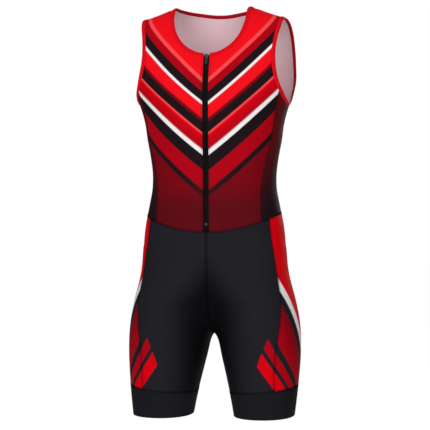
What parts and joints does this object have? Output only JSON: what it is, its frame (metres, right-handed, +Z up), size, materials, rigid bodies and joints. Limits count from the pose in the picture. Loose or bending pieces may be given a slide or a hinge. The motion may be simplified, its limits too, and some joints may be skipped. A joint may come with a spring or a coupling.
{
  "type": "rowing_unisuit",
  "caption": "Sleeveless one-piece rowing suit with short legs, worn form and hollow: front zip with a hinged pull tab, shaped side panels, bound neck and armholes, snug leg bands.",
  "frame": {"origin": "Midway between the two shoulder seams, level with them at the neck's sides, where the suit is held", "axes": "+Z up to the shoulders, -Y out of the front of the suit, +X to the wearer's left"},
  "size_m": [0.3722, 0.2263, 0.8763],
  "materials": {
    "upper_red": "smooth stretch knit, dyed in red, dark red, black and white bands",
    "panel_dark_red": "smooth stretch knit, dark red to black",
    "shorts_black": "smooth stretch knit, black",
    "band_black": "ribbed elastic knit, black",
    "binding_red": "folded stretch binding, red",
    "tape_black": "woven zip tape, black",
    "slider_metal": "dark plated zip slider",
    "tab_plastic": "black moulded pull tab and stop"
  },
  "bodies": {
    "garment": {"front_left": "upper_red", "front_right": "upper_red", "side_left": "panel_dark_red", "side_right": "panel_dark_red", "back": "upper_red", "shorts_front_left": "shorts_black", "shorts_front_right": "shorts_black", "shorts_side_left": "panel_dark_red", "shorts_side_right": "panel_dark_red", "shorts_back_left": "shorts_black", "shorts_back_right": "shorts_black", "leg_band_left": "band_black", "leg_band_right": "band_black", "neck_binding": "binding_red", "armhole_binding_left": "binding_red", "armhole_binding_right": "binding_red", "zip_tape_left": "tape_black", "zip_tape_right": "tape_black", "slider_body": "slider_metal", "zip_stop": "tab_plastic", "zip_end_tab": "shorts_black"},
    "pull_tab": {"pull_tab": "tab_plastic"}
  },
  "joints": [
    {"name": "pull_tab_hinge", "type": "hinge", "parent": "garment", "child": "pull_tab", "pos_m": [0, -0.08858, -0.09806], "axis": [-1, 0, 0], "range_deg": [0, 170]}
  ]
}
